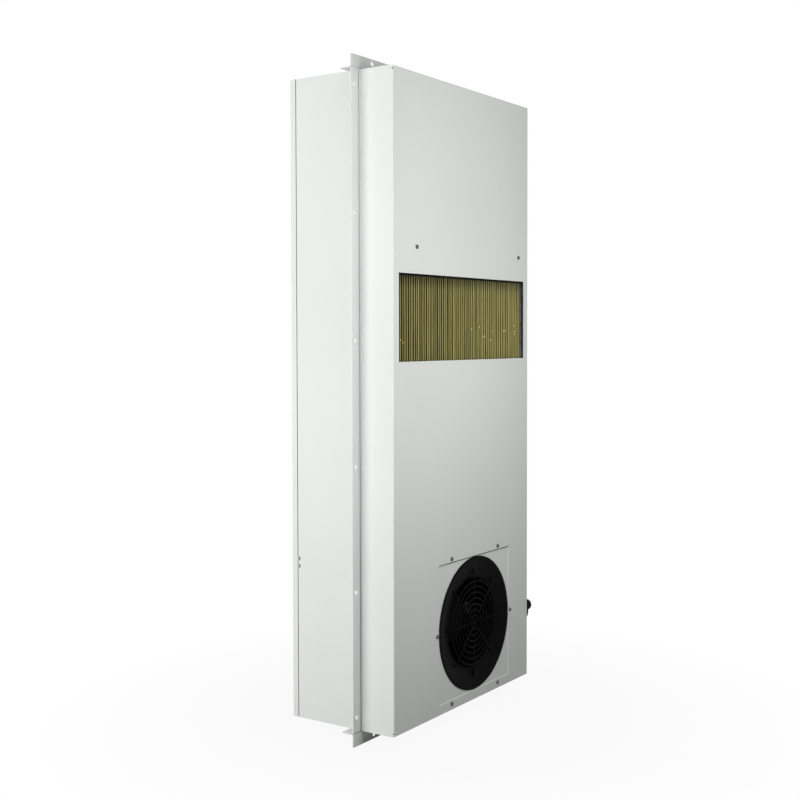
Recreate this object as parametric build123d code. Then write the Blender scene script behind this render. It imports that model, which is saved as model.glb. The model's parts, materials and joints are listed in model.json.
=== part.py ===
from build123d import *
import math
import os

# Cabinet heat exchanger in millimetres, +Z up, front towards -Y.
# The origin is the centre of the mounting flange, on its front face.

# Casing and rear cover, folded from sheet
casing_width = 500.0
casing_height = 1200.0
casing_depth = 219.0
sheet = 1.5
bend_radius = 2.5
lip_width = 14.0
relief_hole = 3.2
relief_inset = 6.0
cover_depth = 13.0
gasket_thickness = 1.5

# Mounting flange, four angles round the casing
flange_setback = 72.5
flange_leg = 25.0
wall_leg = 25.0
flange_sheet = 2.0
flange_bend = 4.0
flange_corner = 3.0
flange_joint_gap = 0.5
flange_hole = 9.0
flange_hole_offset = 14.5
side_hole_pitch = 228.7
side_hole_count = 6
end_hole_spacing = 420.0
end_hole_offset = 17.0

# Blind rivets that hold the angles to the casing
rivet_line = 17.5
rivet_head = 8.0
rivet_head_height = 1.5
rivet_shank = 4.0
rivet_tail = 5.6
rivet_tail_length = 2.5
side_rivet_inner = 329.0
side_rivet_outer = 543.0
end_rivet_pitch = 140.0
end_rivet_count = 4

# Air window and fan opening, the same on the front and the rear panel
window_width = 464.0
window_height = 160.0
window_rise = 155.0
fan_offset = 34.0
fan_drop = 447.0
fan_opening = 268.0

# Screws with cross recesses
screw_shank = 4.0
screw_head = 8.0
screw_head_height = 2.4
screw_recess = 1.2
screw_slot = 1.0
screw_slot_length = 4.4
screw_crown = 1.4
hole_clearance = 0.1
thread_margin = 0.1
fan_screw_side = 88.3
fan_screw_end = 140.5
fan_screw_middle = 139.8
bulkhead_screw_left = -174.0
bulkhead_screw_right = 208.0
bulkhead_screw_rise = 34.0
cover_screw_pitch = 290.0
cover_screw_rows = 5
standoff_diameter = 8.0

# Plate core: one foil folded back and forth, capped at both ends
core_height = 500.0
core_margin = 2.0
fold_pitch = 7.5
foil = 0.6
cap_thickness = 5.0
cap_rim = 10.0
channel_sheet = 1.0
window_seal = 6.0
seal_width = 11.0
seal_reveal = 6.0
bulkhead_flange = 45.0
bulkhead_side_flange = 15.0

# Fan: plate, inlet ring and finger guard
fan_plate_width = 324.0
fan_plate_height = 300.0
fan_plate_sheet = 2.0
ring_diameter = 264.0
ring_seat = 4.5
ring_land = 6.0
ring_wall = 2.0
ring_fit = 0.2
throat_diameter = 174.0
cone_depth = 8.8
throat_depth = 32.0
mouth_radius = 8.0
guard_wire = 2.5
guard_wire_sides = 8
guard_reach = 105.0
guard_rings = 7
guard_first_ring = 14.0
guard_ring_pitch = 11.4
guard_spokes = 8
guard_overlap = 0.7
guard_hub = 11.0
guard_hub_inset = 1.2
guard_gap = 0.3

# Fan: impeller on an external rotor motor
impeller_diameter = 250.0
impeller_sheet = 2.0
inlet_gap = 1.8
inlet_overlap = 5.0
inlet_collar = 6.0
shroud_drop = 19.0
impeller_back = 100.0
blade_count = 7
blade_root = 62.0
blade_sheet = 2.5
blade_sweep = 48.0
rotor_diameter = 92.0
rotor_wall = 3.0
rotor_front = 56.0
rotor_flange_width = 10.0
rotor_flange_sheet = 2.5
rotor_fit = 0.1
air_gap = 0.7
shaft_diameter = 10.0
shaft_clearance = 0.04
bearing_diameter = 16.0
bearing_fit = 0.02
bearing_width = 6.0
stator_wall = 4.0
stator_stack = 32.0
stator_clearance = 6.5
base_diameter = 90.0
base_thickness = 6.0
base_gap = 1.5
motor_screw_circle = 70.0
bracket_sheet = 3.0
bracket_width = 70.0
bracket_span = 300.0
bracket_foot = 12.0
foot_screw_spacing = 44.0
bracket_hole = 20.0

# Electrics in the lower chamber
box_depth = 68.5
box_length = 70.0
box_height = 180.0
box_sheet = 1.2
box_setback = 5.0
box_floor_gap = 13.5
board_thickness = 1.6
board_margin = 5.0
board_post = 11.0
board_post_inset = 12.5
board_post_diameter = 6.0
relay_size = 18.0
relay_width = 12.0
relay_pitch = 27.0
relay_count = 3
capacitor_diameter = 14.0
capacitor_height = 22.0
rail_width = 35.0
rail_brim = 7.0
rail_height = 7.5
rail_sheet = 1.2
rail_length = 150.0
rail_setback = 56.0
rail_drop = 440.0
terminal_count = 10
terminal_pitch = 12.0
terminal_depth = 30.0
terminal_width = 42.0
terminal_screw = 5.0
terminal_well = 10.0

# Cable gland in the right wall
gland_setback = 32.7
gland_drop = 464.8
gland_thread = 32.0
gland_thread_length = 11.0
gland_thread_wall = 2.0
gland_collar = 64.0
gland_collar_length = 7.5
gland_collar_edge = 1.5
gland_nozzle_root = 35.6
gland_nozzle_tip = 23.2
gland_length = 58.0
gland_bore = 13.0
gland_nut_hexagon = 41.0
gland_nut_thickness = 6.0
gland_clearance = 0.1

# Places worked out from the sizes above
half_width = casing_width / 2
half_height = casing_height / 2
inner_half_width = half_width - sheet
front_y = -flange_setback
casing_rear_y = front_y + casing_depth
lip_y = casing_rear_y - sheet
cover_edge_y = casing_rear_y + gasket_thickness
rear_y = cover_edge_y + cover_depth
core_front_y = front_y + sheet + window_seal
core_rear_y = rear_y - sheet - window_seal
core_half_width = window_width / 2 + core_margin
core_top = core_height / 2
screw_hole = screw_shank + 2 * hole_clearance
rivet_hole = rivet_shank + 2 * hole_clearance
fan_plate_back = sheet + fan_plate_sheet
ring_hole = ring_diameter / 2 - ring_seat
throat_radius = throat_diameter / 2
cone_edge = ring_diameter / 2 - ring_land
impeller_radius = impeller_diameter / 2
inlet_radius = throat_radius + ring_wall + inlet_gap
inlet_front = throat_depth - inlet_overlap
back_plate_end = impeller_back + impeller_sheet
rotor_rear = back_plate_end + rotor_flange_sheet
base_front = rotor_rear + base_gap
base_rear = base_front + base_thickness
bracket_rear = base_rear + bracket_sheet

# A panel frame has its panel's outer face at y = 0, the depth along +Y and its window above the fan.
front_side = Pos(0, front_y, 0)
rear_side = Pos(0, rear_y, 0) * Rot(180, 0, 0)

# A fan frame has the fan's axis along +Z, pointing into the unit, and z = 0 on the panel's outer face.
fan_axis = Pos(fan_offset, 0, -fan_drop) * Rot(-90, 0, 0)

# Directions for pieces modelled along +Z
facing_front = Rot(90, 0, 0)
facing_rear = Rot(-90, 0, 0)
facing_right = Rot(0, 90, 0)
facing_left = Rot(0, -90, 0)
facing_down = Rot(180, 0, 0)


def block(x_range, y_range, z_range):
    """A box between two limits on each axis."""
    spans = (x_range, y_range, z_range)
    centre = [(low + high) / 2 for low, high in spans]
    return Pos(*centre) * Box(*[high - low for low, high in spans])


def both(half):
    """The limits of something centred on zero."""
    return (-half, half)


def drill(diameter, depth):
    """A cutter along Z, centred on its own origin."""
    return Cylinder(diameter / 2, 2 * depth)


def turned(*points):
    """A solid turned about Z from a closed outline of radius and height."""
    return revolve(Plane.XZ * make_face(Polyline(*points, close=True)), Axis.Z)


def screw(length):
    """A cross recess screw along Z, with the underside of its head at z = 0 and its tip below."""
    head = Pos(0, 0, screw_head_height / 2) * Cylinder(screw_head / 2, screw_head_height)
    head = fillet(head.edges().sort_by(Axis.Z)[-1], screw_crown)
    for turn in (0, 90):
        slot = Rot(0, 0, turn) * Box(screw_slot_length, screw_slot, 2 * screw_recess)
        head -= Pos(0, 0, screw_head_height) * slot
    shank = Pos(0, 0, -length / 2) * Cylinder(screw_shank / 2, length)
    return head + shank


def rivet(grip):
    """A blind rivet along Z through a grip of sheets, with the underside of its head at z = 0."""
    radius = rivet_head / 2
    dome = (radius**2 + rivet_head_height**2) / (2 * rivet_head_height)
    ball = Pos(0, 0, rivet_head_height - dome) * Sphere(dome)
    head = ball & Pos(0, 0, dome) * Box(2 * rivet_head, 2 * rivet_head, 2 * dome)
    shank = Pos(0, 0, -grip / 2) * Cylinder(rivet_shank / 2, grip)
    tail = Pos(0, 0, -grip - rivet_tail_length / 2) * Cylinder(rivet_tail / 2, rivet_tail_length)
    return head + shank + tail


def folded_pan(depth):
    """A sheet with its four sides folded back: the outer face at y = 0, open towards +Y."""
    on_face = (Align.CENTER, Align.MIN, Align.CENTER)
    outer = Box(casing_width, depth, casing_height, align=on_face)
    outer = fillet(outer.faces().sort_by(Axis.Y)[0].edges(), bend_radius)
    inner = Box(casing_width - 2 * sheet, depth, casing_height - 2 * sheet, align=on_face)
    inner = fillet(inner.faces().sort_by(Axis.Y)[0].edges(), bend_radius - sheet)
    return outer - Pos(0, sheet, 0) * inner


def fan_screw_points():
    """The six fan plate screws about the fan's axis."""
    corners = [(x, y) for x in both(fan_screw_side) for y in both(fan_screw_end)]
    middles = [(x, 0) for x in both(fan_screw_middle)]
    return corners + middles


def panel_cuts():
    """The window, the fan opening, the screw holes and the corner reliefs of one panel."""
    through = 2 * sheet
    cuts = [Pos(0, 0, window_rise) * Box(window_width, 2 * through, window_height)]
    cuts.append(fan_axis * Box(fan_opening, fan_opening, 2 * through))
    for x, y in fan_screw_points():
        cuts.append(fan_axis * Pos(x, y, 0) * drill(screw_hole, through))
    for x in both(half_width - bend_radius / 2):
        for z in both(half_height - relief_inset):
            cuts.append(Pos(x, 0, z) * facing_front * drill(relief_hole, through))
    return cuts


def flange_angle(length):
    """A bent angle along Z: one leg along -X with its face at y = 0, the other leg along +Y."""
    strip = block((-flange_leg, 0), (0, flange_sheet), both(length / 2))
    leg = block((-flange_sheet, 0), (0, wall_leg), both(length / 2))
    angle = strip + leg
    upright = angle.edges().filter_by(Axis.Z)
    outside = upright.sort_by_distance(Vertex(0, 0, 0))[0]
    angle = fillet(outside, flange_bend)
    upright = angle.edges().filter_by(Axis.Z)
    inside = upright.sort_by_distance(Vertex(-flange_sheet, flange_sheet, 0))[0]
    return fillet(inside, flange_bend - flange_sheet)


def centred_row(count, pitch):
    """Evenly pitched places centred on zero."""
    return [(index - (count - 1) / 2) * pitch for index in range(count)]


side_rivet_places = [0.0, *both(side_rivet_inner), *both(side_rivet_outer)]
end_rivet_places = centred_row(end_rivet_count, end_rivet_pitch)


def side_rivet_seats():
    """Frames on the outer faces of the side angles' wall legs, +Z outwards."""
    seat = half_width + flange_sheet
    left = [Pos(-seat, rivet_line, z) * facing_left for z in side_rivet_places]
    right = [Pos(seat, rivet_line, z) * facing_right for z in side_rivet_places]
    return left + right


def end_rivet_seats():
    """Frames on the outer faces of the top and bottom angles' wall legs, +Z outwards."""
    seat = half_height + flange_sheet
    top = [Pos(x, rivet_line, seat) for x in end_rivet_places]
    bottom = [Pos(x, rivet_line, -seat) * facing_down for x in end_rivet_places]
    return top + bottom


rivet_seats = side_rivet_seats() + end_rivet_seats()
rivet_cuts = [seat * drill(rivet_hole, 4 * (flange_sheet + sheet)) for seat in rivet_seats]


def side_flange():
    """The angle on the left side wall, with its row of mounting holes."""
    angle = flange_angle(casing_height - 2 * flange_joint_gap)
    for z in centred_row(side_hole_count, side_hole_pitch):
        angle -= Pos(-flange_hole_offset, 0, z) * facing_front * drill(flange_hole, 2 * flange_sheet)
    return Pos(-half_width, 0, 0) * angle


def end_flange():
    """The angle on top of the casing, as wide as the whole flange, with rounded outer corners."""
    angle = flange_angle(casing_width + 2 * flange_leg)
    outer = angle.edges().filter_by(Axis.Y).group_by(Axis.X)[0]
    angle = fillet(outer, flange_corner)
    for z in both(end_hole_spacing / 2):
        angle -= Pos(-end_hole_offset, 0, z) * facing_front * drill(flange_hole, 2 * flange_sheet)
    return Pos(0, 0, half_height) * Rot(0, 90, 0) * angle


def bulkhead_screw_points():
    """The two screws that hold the upper bulkhead to the front panel, in the front panel's frame."""
    height = core_top + bulkhead_screw_rise
    return [(x, height) for x in (bulkhead_screw_left, bulkhead_screw_right)]


# The frame on the right wall's outer face where the cable gland sits, +Z outwards
gland_seat = Pos(half_width, front_y + gland_setback, -gland_drop) * facing_right


def front_casing():
    """The front panel with its side, top and bottom walls, and inward lips at the rear edge."""
    casing = folded_pan(casing_depth)
    lip = Box(casing_width, sheet, casing_height)
    lip -= Box(casing_width - 2 * lip_width, 2 * sheet, casing_height - 2 * lip_width)
    casing = casing + Pos(0, casing_depth - sheet / 2, 0) * lip - panel_cuts()
    for x, z in bulkhead_screw_points():
        casing -= Pos(x, 0, z) * facing_front * drill(screw_hole, 2 * sheet)
    casing = front_side * casing - rivet_cuts
    return casing - gland_seat * drill(gland_thread + 2 * gland_clearance, 2 * sheet)


def cover_screw_points():
    """The rear cover's screws, along the middle of the casing's side lips."""
    inset = (sheet + lip_width) / 2
    rows = centred_row(cover_screw_rows, cover_screw_pitch)
    return [(x, z) for x in both(half_width - inset) for z in rows]


def rear_cover():
    """The shallow pan that closes the back."""
    cover = rear_side * (folded_pan(cover_depth) - panel_cuts())
    for x, z in cover_screw_points():
        cover -= Pos(x, rear_y, z) * facing_rear * drill(screw_hole, 2 * sheet)
    return cover


def rear_gasket():
    """The flat seal between the casing's lips and the rear cover's edges."""
    middle = casing_rear_y + gasket_thickness / 2
    ring = Box(casing_width, gasket_thickness, casing_height)
    ring -= Box(casing_width - 2 * lip_width, 2 * gasket_thickness, casing_height - 2 * lip_width)
    hole = standoff_diameter + 2 * hole_clearance
    for x, z in cover_screw_points():
        ring -= Pos(x, 0, z) * facing_rear * drill(hole, gasket_thickness)
    return Pos(0, middle, 0) * ring


def cover_standoff():
    """A tapped spacer on the casing's lip, along +Z from the lip to the inside of the cover."""
    length = rear_y - sheet - casing_rear_y
    post = Pos(0, 0, length / 2) * Cylinder(standoff_diameter / 2, length)
    return post - Pos(0, 0, length) * drill(screw_hole, length - sheet)


def bulkhead(side):
    """The partition on the top (side 1) or bottom (side -1) of the core: folded edges, relieved corners."""
    plate = block(both(inner_half_width), (front_y + sheet, lip_y), (0, sheet))
    plate += block(both(core_half_width), (lip_y, core_rear_y), (0, sheet))
    opening_y = (core_front_y + cap_rim, core_rear_y - cap_rim)
    plate -= block(both(core_half_width - cap_rim), opening_y, both(2 * sheet))
    plate += block(both(inner_half_width), (front_y + sheet, front_y + 2 * sheet), (0, bulkhead_flange))
    for edge in both(inner_half_width - sheet / 2):
        wall = both(sheet / 2)
        plate += Pos(edge, 0, 0) * block(wall, (front_y + sheet, lip_y), (0, bulkhead_side_flange))
    for edge in both(inner_half_width):
        relief = Box(2 * bend_radius, 2 * bend_radius, 4 * bulkhead_flange)
        plate -= Pos(edge, front_y + sheet, 0) * relief
    if side < 0:
        plate = mirror(plate, about=Plane.XY)
    return Pos(0, 0, side * core_top) * plate


def upper_bulkhead():
    """The upper partition, with the holes of the two screws that show above the window."""
    plate = bulkhead(1)
    for x, z in bulkhead_screw_points():
        plate -= Pos(x, front_y + sheet, z) * facing_front * drill(screw_hole, 2 * sheet)
    return plate


half_pitch = fold_pitch / 2
fold_count = int((2 * core_half_width - foil) // fold_pitch)
leg_places = centred_row(2 * fold_count, half_pitch)


def core_foil():
    """One foil folded back and forth: the front folds close the rear air's channels, and the reverse."""
    fold_radius = half_pitch / 2
    first_y = core_front_y + fold_radius + foil / 2
    last_y = core_rear_y - fold_radius - foil / 2
    edges = []
    for index, x in enumerate(leg_places):
        left, right = x - foil / 2, x + foil / 2
        edges.append(Line((left, first_y), (left, last_y)))
        edges.append(Line((right, first_y), (right, last_y)))
        if index == len(leg_places) - 1:
            break
        at_front = index % 2 == 0
        base = first_y if at_front else last_y
        outwards = -1 if at_front else 1
        middle = x + fold_radius
        for radius in (fold_radius - foil / 2, fold_radius + foil / 2):
            crown = (middle, base + outwards * radius)
            edges.append(ThreePointArc((middle - radius, base), crown, (middle + radius, base)))
    for x in (leg_places[0], leg_places[-1]):
        edges.append(Line((x - foil / 2, last_y), (x + foil / 2, last_y)))
    section = make_face(edges)
    height = core_height - 2 * cap_thickness
    return Pos(0, 0, -height / 2) * extrude(section, height, dir=(0, 0, 1))


def core_cap(slot_places):
    """A potted end of the core, with one slot over each channel that is open at this end."""
    middle = (core_front_y + core_rear_y) / 2
    depth = core_rear_y - core_front_y
    face = Rectangle(2 * core_half_width, depth)
    slots = [Pos(x, 0) * Rectangle(half_pitch - foil, depth - 2 * cap_rim) for x in slot_places]
    return Pos(0, middle, 0) * extrude(face - slots, cap_thickness, dir=(0, 0, 1))


def core_channel():
    """The channel that holds the core off the right wall."""
    web = (core_half_width, core_half_width + channel_sheet)
    span = (core_half_width, inner_half_width)
    high = both(core_top)
    channel = block(web, (core_front_y, lip_y), high)
    channel += block(span, (core_front_y, core_front_y + channel_sheet), high)
    return channel + block(span, (lip_y - channel_sheet, lip_y), high)


def window_seal_frame():
    """The foam frame between a panel and the core, in the panel's frame."""
    seal = Box(window_width + 2 * seal_width, window_seal, window_height + 2 * seal_width)
    seal -= Box(window_width + 2 * seal_reveal, 2 * window_seal, window_height + 2 * seal_reveal)
    return Pos(0, sheet + window_seal / 2, window_rise) * seal


def foot_screw_points():
    """The four screws through the motor bracket's feet."""
    reach = bracket_span / 2 + bracket_foot / 2
    return [(x, y) for x in both(reach) for y in both(foot_screw_spacing / 2)]


def motor_screw_points():
    """The four screws through the bracket into the motor's base."""
    reach = motor_screw_circle / 2 * math.sqrt(0.5)
    return [(x, y) for x in both(reach) for y in both(reach)]


def fan_plate():
    """The plate behind the panel that carries the whole fan."""
    middle = sheet + fan_plate_sheet / 2
    plate = Pos(0, 0, middle) * Box(fan_plate_width, fan_plate_height, fan_plate_sheet)
    plate -= drill(2 * ring_hole, 4 * fan_plate_back)
    for x, y in fan_screw_points() + foot_screw_points():
        plate -= Pos(x, y, 0) * drill(screw_hole, 2 * fan_plate_back)
    return plate


def inlet_ring():
    """The inlet ring: a flat rim on the plate, a shallow cone and a rounded mouth into the impeller."""
    rim = ring_diameter / 2
    spigot = ring_hole - ring_fit
    face = FilletPolyline(
        (rim, 0), (cone_edge, 0), (throat_radius, cone_depth), (throat_radius, throat_depth),
        radius=mouth_radius,
    )
    outer_throat = throat_radius + ring_wall
    back = FilletPolyline(
        (outer_throat, throat_depth), (outer_throat, cone_depth + ring_wall),
        (spigot, fan_plate_back), radius=mouth_radius - ring_wall,
    )
    rest = Polyline((spigot, fan_plate_back), (spigot, sheet), (rim, sheet), (rim, 0))
    end = Line((throat_radius, throat_depth), (outer_throat, throat_depth))
    return revolve(Plane.XZ * make_face([*face.edges(), end, *back.edges(), *rest.edges()]), Axis.Z)


def finger_guard():
    """The welded wire guard: rings on spokes that run from a hub to just clear of the ring's cone."""
    slope = cone_depth / (cone_edge - throat_radius)
    seat = (cone_edge - guard_reach) * slope
    wire_z = seat - guard_wire / 2 - guard_gap
    ring_z = wire_z - guard_wire + guard_overlap
    start = guard_hub / 2 - guard_hub_inset
    wire = RegularPolygon(guard_wire / 2, guard_wire_sides)
    spoke = facing_right * extrude(wire, guard_reach - start, dir=(0, 0, 1))
    guard = Pos(0, 0, wire_z) * Cylinder(guard_hub / 2, guard_wire)
    for index in range(guard_spokes):
        guard += Rot(0, 0, index * 360 / guard_spokes) * Pos(start, 0, wire_z) * spoke
    for index in range(guard_rings):
        radius = guard_first_ring + index * guard_ring_pitch
        guard += revolve(Plane.XZ * Pos(radius, ring_z) * wire, Axis.Z)
    return guard


def blade_outline():
    """The plan of one backward curved blade."""
    radii = (blade_root, (blade_root + impeller_radius) / 2, impeller_radius - impeller_sheet / 2)
    faces = []
    for side in (1, -1):
        face = []
        for radius in radii:
            share = (radius - blade_root) / (impeller_radius - blade_root)
            angle = math.radians(blade_sweep) * share + side * blade_sheet / 2 / radius
            face.append((radius * math.cos(angle), radius * math.sin(angle)))
        faces.append(face)
    ahead, behind = faces
    ends = [Line(ahead[2], behind[2]), Line(ahead[0], behind[0])]
    return make_face([ThreePointArc(*ahead), ThreePointArc(*behind), *ends])


def impeller():
    """The impeller: a shroud round the inlet, curved blades and a back plate."""
    collar_end = inlet_front + inlet_collar
    rim_z = collar_end + shroud_drop
    outer = inlet_radius + impeller_sheet
    shroud = turned(
        (inlet_radius, inlet_front), (outer, inlet_front), (outer, collar_end - impeller_sheet / 2),
        (impeller_radius, rim_z - impeller_sheet), (impeller_radius, rim_z), (inlet_radius, collar_end),
    )
    plate_middle = impeller_back + impeller_sheet / 2
    reach = turned(
        (blade_root - blade_sheet, collar_end), (inlet_radius + impeller_sheet / 2, collar_end),
        (impeller_radius, rim_z - impeller_sheet / 2), (impeller_radius, plate_middle),
        (blade_root - blade_sheet, plate_middle),
    )
    blade = extrude(blade_outline(), back_plate_end, dir=(0, 0, 1)) & reach
    plate = Pos(0, 0, plate_middle) * Cylinder(impeller_radius, impeller_sheet)
    plate -= drill(rotor_diameter + 2 * rotor_fit, 2 * back_plate_end)
    wheel = shroud + plate
    for index in range(blade_count):
        wheel += Rot(0, 0, index * 360 / blade_count) * blade
    return wheel


def motor_rotor():
    """The rotor can with its flange and the shaft at its centre."""
    can = rotor_diameter / 2
    shaft = shaft_diameter / 2
    inside = can - rotor_wall
    floor = rotor_front + rotor_wall
    return turned(
        (0, rotor_front), (can, rotor_front), (can, back_plate_end),
        (can + rotor_flange_width, back_plate_end), (can + rotor_flange_width, rotor_rear),
        (inside, rotor_rear), (inside, floor), (shaft, floor),
        (shaft, base_front + base_thickness / 2), (0, base_front + base_thickness / 2),
    )


def motor_stator():
    """The fixed half of the motor: the wound stack, the bearing tube and the base."""
    bore = bearing_diameter / 2 + bearing_fit
    tube = bore + stator_wall
    stack = rotor_diameter / 2 - rotor_wall - air_gap
    tube_front = rotor_front + rotor_wall + air_gap
    stack_front = tube_front + stator_clearance
    stack_rear = stack_front + stator_stack
    stator = turned(
        (bore, tube_front), (tube, tube_front), (tube, stack_front), (stack, stack_front),
        (stack, stack_rear), (tube, stack_rear), (tube, base_front), (base_diameter / 2, base_front),
        (base_diameter / 2, base_rear), (bore, base_rear),
    )
    for x, y in motor_screw_points():
        stator -= Pos(x, y, base_rear) * drill(screw_hole, base_thickness)
    return stator


def motor_bearings():
    """The two bearings in the stator's tube."""
    ring = Cylinder(bearing_diameter / 2, bearing_width)
    ring -= drill(shaft_diameter + 2 * shaft_clearance, bearing_width)
    front = rotor_front + rotor_wall + 2 * air_gap + bearing_width / 2
    rear = base_front - bearing_width / 2
    return [Pos(0, 0, z) * ring for z in (front, rear)]


def motor_bracket():
    """The strap behind the motor, with a leg and a foot at each end."""
    strap = Pos(0, 0, base_rear + bracket_sheet / 2) * Box(bracket_span, bracket_width, bracket_sheet)
    strap -= drill(bracket_hole, 2 * bracket_rear)
    width = both(bracket_width / 2)
    for side in (1, -1):
        outer = side * bracket_span / 2
        leg = sorted((outer, outer - side * bracket_sheet))
        foot = sorted((outer - side * bracket_sheet, outer + side * bracket_foot))
        strap += block(leg, width, (fan_plate_back, bracket_rear))
        strap += block(foot, width, (fan_plate_back, fan_plate_back + bracket_sheet))
    for x, y in motor_screw_points() + foot_screw_points():
        strap -= Pos(x, y, 0) * drill(screw_hole, 2 * bracket_rear)
    return strap


def fan_nodes(name, side):
    """Every piece of one fan, placed on its side of the unit."""
    place = side * fan_axis
    panel_grip = fan_plate_back - thread_margin
    foot_grip = bracket_sheet + fan_plate_sheet - thread_margin
    motor_grip = bracket_sheet + base_thickness / 2
    foot_seat = fan_plate_back + bracket_sheet
    panel_screws = [Pos(x, y, 0) * facing_down * screw(panel_grip) for x, y in fan_screw_points()]
    foot_screws = [Pos(x, y, foot_seat) * screw(foot_grip) for x, y in foot_screw_points()]
    motor_screws = [Pos(x, y, bracket_rear) * screw(motor_grip) for x, y in motor_screw_points()]
    return {
        f"{name}_fan_plate": place * fan_plate(),
        f"{name}_inlet_ring": place * inlet_ring(),
        f"{name}_finger_guard": place * finger_guard(),
        f"{name}_impeller": place * impeller(),
        f"{name}_motor_rotor": place * motor_rotor(),
        f"{name}_motor_stator": place * motor_stator(),
        f"{name}_motor_bearings": Compound([place * ring for ring in motor_bearings()]),
        f"{name}_motor_bracket": place * motor_bracket(),
        f"{name}_fan_screws": Compound([place * piece for piece in panel_screws]),
        f"{name}_bracket_screws": Compound([place * piece for piece in foot_screws]),
        f"{name}_motor_screws": Compound([place * piece for piece in motor_screws]),
    }


def cable_gland():
    """The cable gland along +Z from the wall: thread, collar and a tapered nozzle that grips the cable."""
    thread = gland_thread / 2
    passage = thread - gland_thread_wall
    passage_end = gland_collar_length - gland_thread_wall
    body = turned(
        (passage, -gland_thread_length), (thread, -gland_thread_length), (thread, 0), (gland_collar / 2, 0),
        (gland_collar / 2, gland_collar_length), (gland_nozzle_root / 2, gland_collar_length),
        (gland_nozzle_tip / 2, gland_length), (gland_bore / 2, gland_length), (gland_bore / 2, passage_end),
        (passage, passage_end),
    )
    rims = body.edges().filter_by(GeomType.CIRCLE)
    collar_rims = [rim for rim in rims if math.isclose(rim.radius, gland_collar / 2)]
    return fillet(collar_rims, gland_collar_edge)


def gland_nut():
    """The nut that holds the gland from inside the wall."""
    outline = RegularPolygon(gland_nut_hexagon / 2, 6, major_radius=False)
    nut = extrude(outline, gland_nut_thickness, dir=(0, 0, 1))
    nut -= drill(gland_thread + 2 * gland_clearance, 2 * gland_nut_thickness)
    return Pos(0, 0, -sheet - gland_nut_thickness) * nut


box_back = -inner_half_width
box_y = (front_y + sheet + box_setback, front_y + sheet + box_setback + box_length)
box_z = (-half_height + box_floor_gap, -half_height + box_floor_gap + box_height)
box_face = box_back + box_depth
board_back = box_back + box_sheet + board_post


def control_box():
    """The controller's tray on the left wall, open to the right, with posts for its board."""
    tray = block((box_back, box_face), box_y, box_z)
    inner_y = (box_y[0] + box_sheet, box_y[1] - box_sheet)
    inner_z = (box_z[0] + box_sheet, box_z[1] - box_sheet)
    tray -= block((box_back + box_sheet, box_face + box_sheet), inner_y, inner_z)
    for y in (box_y[0] + board_post_inset, box_y[1] - board_post_inset):
        for z in (box_z[0] + board_post_inset, box_z[1] - board_post_inset):
            post = Pos(0, 0, board_post / 2) * Cylinder(board_post_diameter / 2, board_post)
            tray += Pos(box_back + box_sheet, y, z) * facing_right * post
    return tray


def circuit_board():
    """The controller's board with a row of relays and capacitors."""
    face = board_back + board_thickness
    inner_y = (box_y[0] + board_margin, box_y[1] - board_margin)
    inner_z = (box_z[0] + board_margin, box_z[1] - board_margin)
    board = block((board_back, face), inner_y, inner_z)
    middle_y = sum(box_y) / 2
    for z in centred_row(relay_count, relay_pitch):
        relay = block((face, face + relay_size), both(relay_size / 2), both(relay_width / 2))
        board += Pos(0, middle_y - relay_size / 2, sum(box_z) / 2 + z) * relay
        can = Pos(0, 0, capacitor_height / 2) * Cylinder(capacitor_diameter / 2, capacitor_height)
        board += Pos(face, middle_y + capacitor_diameter, sum(box_z) / 2 + z) * facing_right * can
    return board


rail_y = (front_y + rail_setback, front_y + rail_setback + rail_width)
rail_face = inner_half_width - rail_height


def terminal_rail():
    """The hat section rail on the right wall."""
    high = both(rail_length / 2)
    hat = (rail_y[0] + rail_brim - rail_sheet, rail_y[1] - rail_brim + rail_sheet)
    rail = block((inner_half_width - rail_sheet, inner_half_width), hat, high)
    rail += block((rail_face, rail_face + rail_sheet), rail_y, high)
    hollow = (hat[0] + rail_sheet, hat[1] - rail_sheet)
    rail -= block((rail_face - rail_sheet, rail_face + 2 * rail_sheet), hollow, both(rail_length))
    for low in (hat[0], hollow[1]):
        rail += block((rail_face, inner_half_width), (low, low + rail_sheet), high)
    return Pos(0, 0, -rail_drop) * rail


def terminal_block():
    """The row of terminals seated on the rail, with a screw well in each."""
    middle_y = sum(rail_y) / 2
    length = terminal_count * terminal_pitch
    body = block((rail_face - terminal_depth, rail_face), both(terminal_width / 2), both(length / 2))
    for z in centred_row(terminal_count, terminal_pitch):
        for y in both(terminal_width / 4):
            well = drill(terminal_screw, terminal_well)
            body -= Pos(rail_face - terminal_depth, y, z) * facing_left * well
    return Pos(0, middle_y, -rail_drop) * body


def control_cover():
    """The flat lid of the controller's tray."""
    return block((box_face, box_face + box_sheet), box_y, box_z)


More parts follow.
